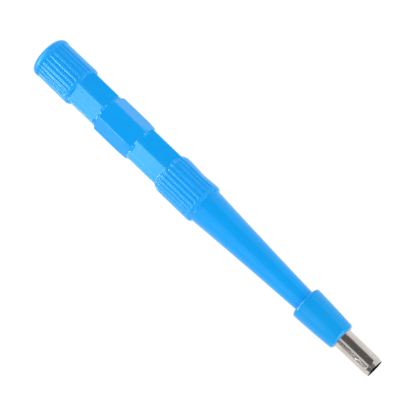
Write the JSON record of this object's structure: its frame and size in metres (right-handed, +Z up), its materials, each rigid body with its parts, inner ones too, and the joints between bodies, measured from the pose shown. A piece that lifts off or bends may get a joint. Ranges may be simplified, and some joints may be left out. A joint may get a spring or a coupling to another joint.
{
  "type": "disposable skin biopsy punch",
  "caption": "Hand-held biopsy punch: ribbed and hexagonal plastic handle with a tapered shank, conical nose hub and a sharpened open steel tube.",
  "frame": {"origin": "on the surface that the punch lies on, under the middle of its length", "axes": "+X along the punch to its cutting edge, +Z up from the surface it lies on"},
  "size_m": [0.1186, 0.0118, 0.0117],
  "materials": {
    "handle_plastic": "semi-gloss injection-moulded polystyrene, bright blue",
    "hub_plastic": "semi-gloss injection-moulded plastic, bright blue, a shade deeper than the handle",
    "cutter_steel": "drawn and ground stainless steel, bright"
  },
  "bodies": {
    "root": {"handle": "handle_plastic", "nose_hub": "hub_plastic", "cutter_tube": "cutter_steel"}
  },
  "joints": []
}
